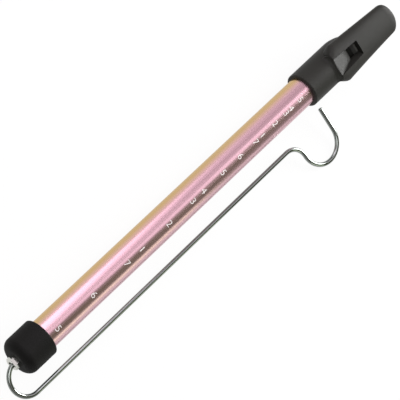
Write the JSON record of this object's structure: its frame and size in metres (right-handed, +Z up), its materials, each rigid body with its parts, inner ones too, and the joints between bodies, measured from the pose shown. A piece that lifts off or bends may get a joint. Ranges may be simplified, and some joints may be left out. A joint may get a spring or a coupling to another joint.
{
  "type": "slide whistle",
  "caption": "Slide whistle: fipple mouthpiece head on a metal tube with an end cap, and a sealed plunger drawn along the tube by a bent-wire handle with a finger hook.",
  "frame": {"origin": "on the tube's axis, at the middle of the tube's bare length between cap and mouthpiece head", "axes": "+X along the tube towards the mouthpiece, +Z up as the whistle lies on a table, finger hook on the -Y side"},
  "size_m": [0.3681, 0.0623, 0.0278],
  "materials": {
    "tube_anodised": "bright rose anodising",
    "head_plastic": "satin moulded black",
    "cap_plastic": "matt moulded black",
    "plated_steel": "bright nickel plate",
    "wire_steel": "polished and plated wire",
    "felt": "pressed felt",
    "plunger_plastic": "natural nylon",
    "seal_rubber": "smooth black rubber"
  },
  "bodies": {
    "barrel": {"barrel_tube": "tube_anodised", "mouthpiece_head": "head_plastic", "fipple_block": "head_plastic", "end_cap": "cap_plastic", "wire_guide": "plated_steel", "guide_washer": "plated_steel", "guide_nut": "plated_steel", "cap_bumper": "felt"},
    "plunger": {"plunger_core": "plunger_plastic", "front_seal": "seal_rubber", "rear_seal": "seal_rubber"},
    "rod": {"slide_wire": "wire_steel", "front_washer": "plated_steel", "front_nut": "plated_steel", "rear_washer": "plated_steel", "rear_nut": "plated_steel"}
  },
  "joints": [
    {"name": "plunger_slide", "type": "slide", "parent": "barrel", "child": "plunger", "axis": [-1, 0, 0], "range_m": [0, 0.2376]},
    {"name": "handle_swivel", "type": "hinge", "parent": "plunger", "child": "rod", "pos_m": [0, 0, 0], "axis": [1, 0, 0], "continuous": true}
  ]
}
